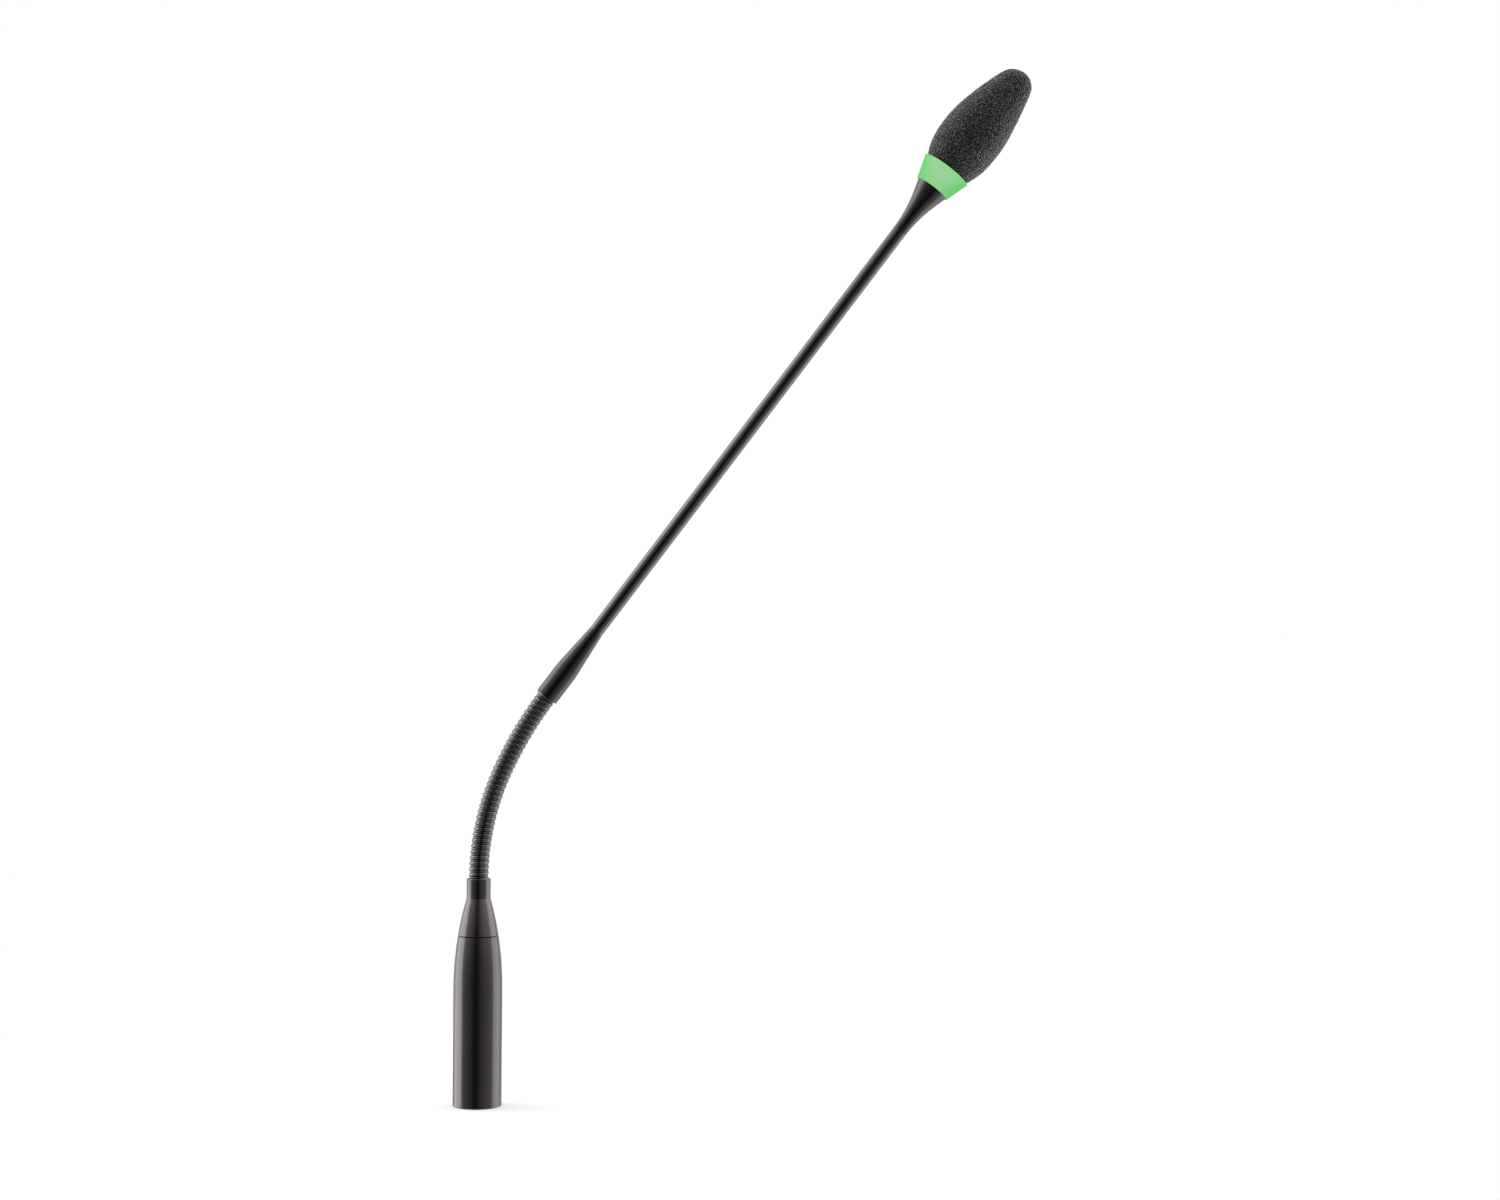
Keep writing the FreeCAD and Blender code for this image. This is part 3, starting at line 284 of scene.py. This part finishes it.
# %% Plastics, rubber and paint
MOULD_RELIEF = 0.003  # mm
for slot, name, dark, light, rough, grain in (
    ("black_insert", "moulded_black_nylon", "#17171a", "#222225", (0.42, 0.55), 0.25),
    ("circuit_board", "green_solder_mask", "#0d4526", "#176238", (0.3, 0.42), 0.6),
    ("chip_body", "moulded_black_epoxy", "#18181a", "#242427", (0.5, 0.65), 0.15),
    ("resistor_body", "fired_black_ceramic", "#1d1d21", "#2b2b30", (0.35, 0.5), 0.15),
    ("cable_jacket", "extruded_matte_rubber", "#18181a", "#232326", (0.55, 0.7), 0.4),
    ("boot_rubber", "moulded_black_rubber", "#161618", "#212124", (0.6, 0.75), 0.3),
    ("insulator_plastic", "moulded_ivory_acetal", "#d2d0c6", "#e4e2da", (0.35, 0.5), 0.3),
    ("grille_steel", "black_painted_steel_mesh", "#18181a", "#262628", (0.4, 0.55), 0.2),
):
    FINISHES[slot] = grained(name, dark, light, rough, grain, MOULD_RELIEF)
FINISHES["led_lens"] = grained(
    "clear_epoxy_lens", "#c4efc4", "#dcf8dc", (0.1, 0.18), grain=0.5, relief=0.0005,
    **{"Transmission Weight": 0.6, "Emission Color": linear("#8cf08c"), "Emission Strength": 1.5},
)
print(len(FINISHES), "finishes so far")

# %% [markdown]
# ## The lit ring
#
# The ring is moulded from milky plastic and lit green from inside, so it glows evenly and hides the lamps behind
# it. Nearly all that is seen is its own light, because its matt skin reflects very little next to the glow. Its
# green is painted paler towards the front and the back and deeper at the two sides: painted light that stands for
# the wall looking paler where it is seen straight through.

# %% The glowing diffuser
glow, tree, output = new_finish("milky_green_diffuser")
place = add(tree, "TexCoord").outputs["Object"]
CLOUD_SIZE, CLOUD_SHARE = 6 * MM, 0.2
DEEP_WITHIN, PALE_BEYOND = 3.0 * MM, 8.5 * MM  # of the ring's middle, forward or backward
cloud = add(tree, "TexNoise", {"Vector": place, "Scale": 1 / CLOUD_SIZE, "Detail": 1.0})
front_to_back = add(tree, "SeparateXYZ", {0: place}).outputs["Y"]
from_middle = add(tree, "Math", {0: front_to_back}, operation="ABSOLUTE").outputs[0]
# painted light: the glow is made paler with distance forward or backward from the ring's middle
painted_pale_front_back = add(
    tree, "MapRange",
    {
        "Value": from_middle, 1: DEEP_WITHIN, 2: PALE_BEYOND,
        3: -CLOUD_SHARE / 2, 4: 1 - CLOUD_SHARE / 2,
    },
).outputs[0]
pale = add(
    tree, "Math", {0: cloud.outputs["Fac"], 1: CLOUD_SHARE, 2: painted_pale_front_back},
    operation="MULTIPLY_ADD", use_clamp=True,
).outputs[0]
tint = add(
    tree, "Mix", {0: pale, 6: linear("#5ec15e"), 7: linear("#94cc94")}, data_type="RGBA"
).outputs[2]
surface = add(
    tree, "BsdfPrincipled",
    {
        "Base Color": linear("#16441a"), "Roughness": 0.5, "Specular IOR Level": 0.05,
        "Emission Color": tint, "Emission Strength": 1.0,
    },
)
tree.links.new(surface.outputs[0], output.inputs["Surface"])
FINISHES["ring_diffuser"] = glow
print("the ring glows")

# %% [markdown]
# ## Open-cell foam
#
# The windscreen is reticulated polyurethane foam, dyed black. Its skin is all pores and threads, and they are
# painted as a shaded and a lit copy of the one black foam: the near black of the pores is painted shade, and the
# grey of the threads is painted light. Round cells give the pores, and a finer noise makes the threads between
# them uneven.

# %% The foam's pores and threads
PORE = 0.62  # real pores are about 0.35 mm; drawn nearly twice as coarse, so that they show
foam, tree, output = new_finish("dyed_open_cell_foam")
place = add(tree, "TexCoord").outputs["Object"]
MOTTLE = 0.45  # mm; over this length the threads grow thicker and thinner
HOLE, KNOT = 0.17, 0.45  # all pore below the first, all thread above the second
pores = add(tree, "TexVoronoi", {"Vector": place, "Scale": 1 / (PORE * MM)}, feature="F1")
mottle = add(
    tree, "TexNoise",
    {"Vector": place, "Scale": 1 / (MOTTLE * MM), "Detail": 3.0, "Roughness": 0.7},
)
web = add(
    tree, "Math", {0: pores.outputs["Distance"], 1: mottle.outputs["Fac"]}, operation="MULTIPLY"
).outputs[0]
thread = add(tree, "MapRange", {"Value": web, 1: HOLE, 2: KNOT}).outputs[0]
print("foam with pores of", PORE, "mm")

# %% [markdown]
# Near its mouth, where it faces down towards the ring, the foam is painted darker: a painted shade that fades out
# over the first twelve millimetres from the mouth, so the share of lit threads grows there. Along the edges the
# threads stand up in a pale fuzz, and the sheen stands for that.

# %% The foam's skin
head_joint = next(joint for joint in frame["joints"] if joint["name"] == "windscreen_pull")
head_way = Vector(head_joint["axis"]).normalized()
mouth = min(head_way.dot(corner.co) for corner in frame["nodes"]["windscreen"].data.vertices)
# painted shade at the foam's mouth: darkest at the first height, gone at the second
MOUTH_SHADE_FULL, MOUTH_SHADE_GONE = mouth - 1.2 * MM, mouth + 11.8 * MM
up_the_head = add(
    tree, "VectorMath", {0: place, 1: tuple(head_way)}, operation="DOT_PRODUCT"
).outputs["Value"]
outside_mouth_shade = add(
    tree, "MapRange", {"Value": up_the_head, 1: MOUTH_SHADE_FULL, 2: MOUTH_SHADE_GONE, 3: 0.05, 4: 1.0}
).outputs[0]
painted_lit_share = add(tree, "Math", {0: thread, 1: outside_mouth_shade}, operation="MULTIPLY").outputs[0]
# painted shade in the pores and near the mouth, painted lit grey on the threads
colour = add(
    tree, "Mix", {0: painted_lit_share, 6: linear("#030304"), 7: linear("#525051")}, data_type="RGBA"
).outputs[2]
THREAD_HEIGHT = 0.3 * MM
bump = add(tree, "Bump", {"Height": thread, "Distance": THREAD_HEIGHT})
surface = add(
    tree, "BsdfPrincipled",
    {
        "Base Color": colour, "Roughness": 0.95, "Specular IOR Level": 0.15,
        "Sheen Weight": 0.95, "Sheen Roughness": 0.32, "Sheen Tint": linear("#dcd8d8"),
        "Normal": bump.outputs[0],
    },
)
tree.links.new(surface.outputs[0], output.inputs["Surface"])
FINISHES["windscreen_foam"] = foam
print("the foam's mouth lies", round(mouth / MM, 1), "mm along the head's direction")

# %% [markdown]
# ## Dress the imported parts
#
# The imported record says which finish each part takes, apart from the parts blackened in
# another batch. Every part keeps its own mesh; only the material in its slot changes.

# %% Give each part its finish
for part in frame["record"]["subparts"]:
    node = frame["nodes"][part["node"]]
    node.data.materials.clear()
    finish = OTHER_BATCHES.get(part["node"], FINISHES[part["material_slot"]])
    node.data.materials.append(finish)

# %% [markdown]
# ## The line of the neck
#
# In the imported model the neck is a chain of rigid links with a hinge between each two. The
# real one is one spring that bends everywhere. Its line runs through the hinges, so the
# wire is wound again on that line, one stretch for each hinge, and each stretch bends
# between its two links. The first and last stretches run on into the collar and sleeve.

# %% Read the neck's line from its hinges
hinges = [joint for joint in frame["joints"] if joint["name"].startswith("neck_")]
knots = [Vector(joint["pos_m"]) for joint in hinges]
step = (knots[1] - knots[0]).length
collar_top = Vector((0, 0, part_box("neck_cone")[1].z))
socket = collar_top.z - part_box("neck_coil_foot")[0].z
last_lean = math.atan2(-hinges[-1]["axis"][2], hinges[-1]["axis"][0])
last_way = Vector((math.sin(last_lean), 0, math.cos(last_lean)))
knots = [collar_top - Vector((0, 0, socket)), collar_top] + knots
knots += [knots[-1] + last_way * step / 2, knots[-1] + last_way * (step / 2 + socket)]
runs = [-socket, 0.0] + [(number + 0.5) * step for number in range(len(hinges))]
runs += [len(hinges) * step, len(hinges) * step + socket]
print(f"{len(hinges)} hinges, one every {step / MM:.2f} mm, socket {socket / MM:.1f} mm")

# %% [markdown]
# A point on the line is read between its two knots. The lean of the line is read the same
# way, from the way the knots on either side of it point.

# %% Points and leans along the neck
ways = [(above - below).normalized() for below, above in zip(knots, knots[1:])]
leans = [0.0, 0.0]
leans += [math.atan2((one + two).x, (one + two).z) for one, two in zip(ways[1:], ways[2:])]
leans += [last_lean]


def neck_point(run):
    """The point of the neck's middle line at this length above the collar."""
    x, z = (np.interp(run, runs, places) for places in zip(*((k.x, k.z) for k in knots)))
    return Vector((x, 0, z))


def neck_lean(run):
    """How far the line leans from upright there, in radians."""
    return np.interp(run, runs, leans)


print("the neck turns", round(math.degrees(neck_lean(runs[-1])), 1), "degrees")

# %% [markdown]
# ## Winding the wire
#
# A curve with a bevel would make a round wire in two lines, but its ends could not be
# made to meet the next stretch exactly. So the wire is a mesh: the outline of its section
# is set square to the helix at even steps along the neck, and neighbours are joined by
# faces. Two stretches share the outline where they meet, so no joint shows. The cable is
# swept in the same way, as a helix with no radius and an endless pitch.

# %% The winding function
def helix_frame(run, radius, pitch, lag):
    """Middle of the wire at this run, the way out from the neck, and the way along the wire.

    A wire that lags by some length starts its turns that much further up the neck.
    """
    lean = neck_lean(run)
    along = Vector((math.sin(lean), 0, math.cos(lean)))
    side = Vector((math.cos(lean), 0, -math.sin(lean)))
    turn = math.tau * (run - lag) / pitch
    out = side * math.cos(turn) + Vector((0, 1, 0)) * math.sin(turn)
    round_way = Vector((0, 1, 0)) * math.cos(turn) - side * math.sin(turn)
    forward = (round_way * math.tau * radius + along * pitch).normalized() if radius else along
    return neck_point(run) + out * radius, out, forward


def sweep(name, outline, start, end, steps, radius, pitch, lag):
    """A mesh that carries an outline of (outward, across) points from one run to another."""
    points = []
    for number in range(steps + 1):
        run = start + (end - start) * number / steps
        middle, out, forward = helix_frame(run, radius, pitch, lag)
        across = forward.cross(out)
        points += [middle + out * outward + across * sideways for outward, sideways in outline]
    corners = len(outline)
    faces = []
    for ring in range(steps):
        for corner in range(corners):
            beside = (corner + 1) % corners
            low, high = ring * corners, (ring + 1) * corners
            faces.append((low + corner, low + beside, high + beside, high + corner))
    mesh = bpy.data.meshes.new(name)
    mesh.from_pydata(points, [], faces)
    mesh.shade_smooth()
    piece = bpy.data.objects.new(name, mesh)
    scene.collection.objects.link(piece)
    return piece


def round_outline(radius, corners):
    """The (outward, across) points of a round section."""
    turns = [math.tau * corner / corners for corner in range(corners)]
    return [(radius * math.cos(turn), radius * math.sin(turn)) for turn in turns]


print("ready to wind")

# %% [markdown]
# ## The neck's three strands
#
# A gooseneck is two wires wound into each other: a round one that carries the load, and a
# thin three-sided one that is pulled into the groove between its turns and grips by
# friction, which is why the neck stays where it is put. The signal cable runs up inside.

# %% The sections of the strands
COIL_RADIUS, WIRE, PITCH = 3.1 * MM, 1.6 * MM, 2.21 * MM
FILLER_CREST, FILLER_SIDE = 3.62 * MM, 0.56 * MM
CABLE = 3.0 * MM
CROWN = 0.62  # a flat outer face would lie at 0.5, so this one is slightly domed
to_edge = FILLER_SIDE / math.sqrt(3)
filler_middle = FILLER_CREST - to_edge / 2
half_side = FILLER_SIDE / 2
filler_section = [
    (-to_edge, 0), (to_edge / 2, half_side), (to_edge * CROWN, 0), (to_edge / 2, -half_side)
]
WIRE_STEPS, CABLE_STEPS = 40, 5  # rows of faces for each turn of the wire
STRANDS = (
    ("neck_wire", "black_spring_steel", round_outline(WIRE / 2, 18),
     COIL_RADIUS, PITCH, 0.0, WIRE_STEPS),
    ("neck_filler", "black_spring_steel", filler_section,
     filler_middle, PITCH, PITCH / 2, WIRE_STEPS),
    ("neck_cable", "cable_jacket", round_outline(CABLE / 2, 24),
     0.0, math.inf, 0.0, CABLE_STEPS),
)
print("a wire of", WIRE / MM, "mm, wound", COIL_RADIUS / MM, "mm from the neck's middle")

# %% [markdown]
# Each hinge of the imported neck gets its own stretch of every strand. The links that the stretches stand for are
# hidden, as are the imported filler wire and cable.

# %% Wind the neck
for number in range(len(hinges)):
    first, last = number == 0, number == len(hinges) - 1
    start = runs[0] if first else number * step
    end = runs[-1] if last else (number + 1) * step
    for name, slot, outline, radius, pitch, lag, steps_a_turn in STRANDS:
        steps = max(6, round((end - start) / PITCH * steps_a_turn))
        title = f"{name}_{number + 1:02d}"
        strand = sweep(title, outline, start, end, steps, radius, pitch, lag)
        strand.data.materials.append(FINISHES[slot])
        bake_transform(strand)
        if name == "neck_wire":
            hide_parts("neck_coil_top" if last else f"neck_link_{number + 1:02d}")
            if first:
                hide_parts("neck_coil_foot")
        elif first:
            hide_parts("filler_wire" if name == "neck_filler" else "signal_cable_neck")
print(f"{len(hinges) * len(STRANDS)} stretches, {len(hinges) * step / PITCH:.1f} turns show")

# %% [markdown]
# ## The foam windscreen
#
# A foam ball is cut or moulded from one block, so its form is taken from the imported part: the mesh is copied and
# rebuilt on an even grid of small faces, which keeps the hollow for the capsule and gives the relief somewhere to
# go. Cloth would be the way to make a sewn cushion; foam is stiff enough that moving its points one by one is the
# closer way.

# %% Rebuild the foam on a fine grid
GRID = 0.26 * MM  # small enough for two faces across each drawn pore
solid = frame["nodes"]["windscreen"]
windscreen = bpy.data.objects.new("foam_windscreen", solid.data.copy())
scene.collection.objects.link(windscreen)
grid = windscreen.modifiers.new("grid", "REMESH")
grid.mode, grid.voxel_size = "VOXEL", GRID
settle = windscreen.modifiers.new("settle", "SMOOTH")
settle.factor, settle.iterations = 0.5, 4
depsgraph = bpy.context.evaluated_depsgraph_get()
fine_mesh = bpy.data.meshes.new_from_object(windscreen.evaluated_get(depsgraph))
windscreen.modifiers.clear()
windscreen.data = fine_mesh
print(len(fine_mesh.vertices), "points in the foam")

# %% [markdown]
# The relief comes from cells of noise: each point of the skin is pushed in where it lies
# near the middle of a pore and left standing where it lies on a thread. A slower noise
# swells and sinks the whole skin by a few hundredths of a millimetre, as cut foam does.

# %% Press the pores
PIT = -0.22  # mm; how deep the middle of a pore is pressed
RISE, RISE_END = 0.36, 0.8  # mm gained one pore's width away; it stops at this share of one
SWELL, SWELL_SIZE = 0.08, 4  # mm high, and about this many mm from one swell to the next


def read_points(mesh, kind):
    """The mesh's points ("co") or their normals ("normal"), one row each."""
    values = np.empty(len(mesh.vertices) * 3)
    mesh.vertices.foreach_get(kind, values)
    return values.reshape(-1, 3)


points = read_points(fine_mesh, "co")
moves = []
for point in points:
    where = Vector(point) / MM
    from_pore = noise.voronoi(where / PORE)[0][0]
    swell = noise.noise(where / SWELL_SIZE)
    moves.append(PIT + RISE * min(from_pore, RISE_END) + SWELL * swell)
points += read_points(fine_mesh, "normal") * np.array(moves)[:, None] * MM
print("the foam's skin moves by", round(min(moves), 2), "to", round(max(moves), 2), "mm")

# %% [markdown]
# The tip of a used windscreen droops a little and settles towards the head, and so does
# this one. Both grow slowly at first and then fast, so that the foot keeps its grip.

# %% Bend the tip
TIP_DROOP, TIP_SETTLE = 1.55 * MM, 0.65 * MM
DROOP_POWER, SETTLE_POWER = 2.5, 2
reach = points @ np.array(head_way)
up_share = (reach - reach.min()) / (reach.max() - reach.min())
downhill = Vector((math.cos(last_lean), 0, -math.sin(last_lean)))
points += np.array(downhill) * (TIP_DROOP * up_share**DROOP_POWER)[:, None]
points -= np.array(head_way) * (TIP_SETTLE * up_share**SETTLE_POWER)[:, None]
fine_mesh.vertices.foreach_set("co", points.ravel())
fine_mesh.shade_smooth()
fine_mesh.materials.clear()
fine_mesh.materials.append(FINISHES["windscreen_foam"])
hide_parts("windscreen")
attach(windscreen, "windscreen")
print("the tip droops by", TIP_DROOP / MM, "mm")

# %% [markdown]
# ## The studio
#
# Glossy black is lit by what it reflects. Two tall soft boxes stand to the left and right
# and a little behind, so a round black part shows a grey band down each side and a black
# middle. The left box is the brighter one and stands high, for the upper side of the
# stem. The right box stands low. Both reach below the floor's level, because the barrel is
# seen a little from above and mirrors what lies lower than itself.

# %% Soft boxes
def soft_box(name, at, aim, wide, tall, brightness):
    """A soft box that faces a point. Brightness is the white it shows, 1 being paper white."""
    lamp = bpy.data.lights.new(name, "AREA")
    lamp.shape = "RECTANGLE"
    lamp.size, lamp.size_y = wide, tall
    lamp.energy = brightness * math.pi * wide * tall
    box = bpy.data.objects.new(name, lamp)
    box.location = at
    box.rotation_euler = (Vector(aim) - Vector(at)).to_track_quat("-Z", "Y").to_euler()
    box.visible_camera = False
    scene.collection.objects.link(box)


middle_x = (cad_box[0].x + cad_box[1].x) / 2
ASIDE = 0.95
soft_box(
    "left_soft_box", at=(middle_x - ASIDE, 0.10, 0.45), aim=(middle_x, 0, 0.45),
    wide=0.85, tall=1.7, brightness=2.8,
)
soft_box(
    "right_soft_box", at=(middle_x + ASIDE, 0.42, -0.05), aim=(middle_x, 0.2, -0.05),
    wide=1.0, tall=1.8, brightness=1.8,
)
print("two soft boxes,", ASIDE, "m to either side")

# %% [markdown]
# The world is the room. It is white for the camera. For everything else it depends on the
# compass direction: white behind the microphone, and dark in front at every height, so the
# middle of each round part stays black. Between the two it follows the sine of half the
# angle from the front, so it changes evenly.

# %% The room's walls
world = bpy.data.worlds.new("white_room")
scene.world = world
world.use_nodes = True
tree = world.node_tree
tree.nodes.clear()
way = add(tree, "TexCoord").outputs["Generated"]
level_way = add(tree, "VectorMath", {0: way, 1: (1, 1, 0)}, operation="MULTIPLY").outputs[0]
compass = add(tree, "VectorMath", {0: level_way}, operation="NORMALIZE").outputs[0]
northward = add(tree, "SeparateXYZ", {0: compass}).outputs["Y"]
behind = add(tree, "MapRange", {"Value": northward, 1: -1.0, 2: 1.0}).outputs[0]
turned = add(tree, "Math", {0: behind, 1: 0.5}, operation="POWER").outputs[0]
FRONT_WHITE, BACK_WHITE = 0.02, 0.9
FRONT_EDGE = 0.04  # up to five degrees from the front it stays darkest
walls = add(
    tree, "MapRange", {"Value": turned, 1: FRONT_EDGE, 3: FRONT_WHITE, 4: BACK_WHITE}
).outputs[0]
print("the walls go from", FRONT_WHITE, "in front to", BACK_WHITE, "behind")

# %% [markdown]
# To the left and right the room brightens upward, as towards a white ceiling, and downward,
# as towards a white floor. The slanting stem and the turns of the wire mirror both, and
# need them for their soft edges.

# %% The room's ceiling and floor
three_ways = add(tree, "SeparateXYZ", {0: way}).outputs
sideways = add(tree, "Math", {0: three_ways["X"]}, operation="ABSOLUTE").outputs[0]
UPWARD, DOWNWARD = (0.0, 1.0, 2.0), (-0.2, -1.0, 1.3)  # starts at, ends at, adds this much
room = walls
for level, full, white in (UPWARD, DOWNWARD):
    rise = add(
        tree, "MapRange", {"Value": three_ways["Z"], 1: level, 2: full, 3: 0.0, 4: white}
    ).outputs[0]
    room = add(tree, "Math", {0: rise, 1: sideways, 2: room}, operation="MULTIPLY_ADD").outputs[0]
seen = add(tree, "LightPath").outputs["Is Camera Ray"]
strength = add(tree, "Mix", {0: seen, 2: room, 3: 1.0}).outputs[0]
sky = add(tree, "Background", {"Color": (1, 1, 1, 1), "Strength": strength})
tree.links.new(sky.outputs[0], add(tree, "OutputWorld").inputs["Surface"])
print("the room is white behind and dark in front")

# %% [markdown]
# ## The floor
#
# The floor is a white board. It is a plain white surface close to the microphone, where it
# has to hold the shadow, and further out it turns into the same white as the room, so no
# line shows where the floor ends. Mirrored rays pass through it, so that the barrel mirrors
# the soft boxes all the way down to its foot.

# %% Lay the floor
FAR = 6.0
corners = [(-FAR, -FAR, 0), (FAR, -FAR, 0), (FAR, FAR, 0), (-FAR, FAR, 0)]
floor_mesh = bpy.data.meshes.new("floor")
floor_mesh.from_pydata(corners, [], [(0, 1, 2, 3)])
floor = bpy.data.objects.new("floor", floor_mesh)
floor.location.z = cad_box[0].z
scene.collection.objects.link(floor)
print("the floor reaches", FAR, "m each way")

# %% [markdown]
# The board's finish is a matt white near the foot, mixed with a plain white that takes no
# shadow. Further out only the plain white is left.

# %% The white board
SHADOW_NEAR, SHADOW_FAR = 0.05, 0.30  # metres from the foot: held within, gone beyond
SHADOW_SHARE = 0.55  # how much of the matt white shows near the foot
board, tree, output = new_finish("white_board")
place = add(tree, "TexCoord").outputs["Object"]
from_foot = add(tree, "VectorMath", {0: place}, operation="LENGTH").outputs["Value"]
held = add(
    tree, "MapRange", {"Value": from_foot, 1: SHADOW_NEAR, 2: SHADOW_FAR, 3: SHADOW_SHARE, 4: 0.0}
).outputs[0]
glow_white = add(tree, "Emission", {"Color": (1, 1, 1, 1), "Strength": 1.0}).outputs[0]
matt_white = add(tree, "BsdfDiffuse", {"Color": linear("#f2f2f2")}).outputs[0]
clear = add(tree, "BsdfTransparent").outputs[0]
rays = add(tree, "LightPath").outputs
shown = add(tree, "MixShader", {0: held, 1: glow_white, 2: matt_white}).outputs[0]
bounce = add(tree, "MixShader", {0: rays["Is Glossy Ray"], 1: matt_white, 2: clear}).outputs[0]
surface = add(tree, "MixShader", {0: rays["Is Camera Ray"], 1: bounce, 2: shown})
tree.links.new(surface.outputs[0], output.inputs["Surface"])
floor_mesh.materials.append(board)
print("its shadow fades out by", SHADOW_FAR, "m from the foot")

# %% Set the colour view
scene.view_settings.view_transform = "Standard"
